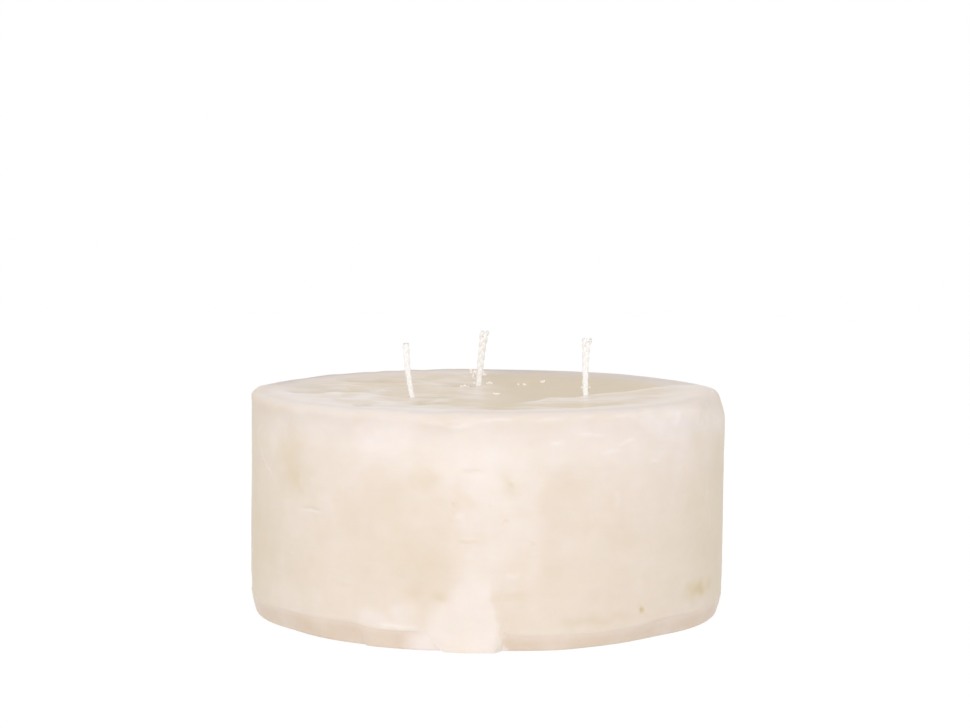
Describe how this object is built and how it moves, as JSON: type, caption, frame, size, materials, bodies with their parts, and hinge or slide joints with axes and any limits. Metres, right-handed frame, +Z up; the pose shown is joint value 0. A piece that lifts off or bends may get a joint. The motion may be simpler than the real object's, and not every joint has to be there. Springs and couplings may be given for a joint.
{
  "type": "multi-wick pillar candle",
  "caption": "Low, wide round pillar candle of cast wax with a dished top, bare plaited cotton wicks and a stepped base layer that it stands on.",
  "frame": {"origin": "middle of the flat underside, on the surface that the candle stands on", "axes": "+Z up along the pillar's axis, front with the wax run facing -Y, +X to the right seen from the front"},
  "size_m": [0.15, 0.15, 0.087],
  "materials": {
    "wax": "ivory candle wax, translucent, with a mottled white frost and a satin surface",
    "base_wax": "ivory candle wax of the second pour, a little darker and smoother",
    "wick_cotton": "plaited white cotton, primed with wax",
    "sustainer_tin": "bright tinplate, pressed"
  },
  "bodies": {
    "root": {"wax_body": "wax", "base_layer": "base_wax", "wick_left": "wick_cotton", "wick_middle": "wick_cotton", "wick_right": "wick_cotton", "sustainer_left": "sustainer_tin", "sustainer_middle": "sustainer_tin", "sustainer_right": "sustainer_tin"}
  },
  "joints": []
}
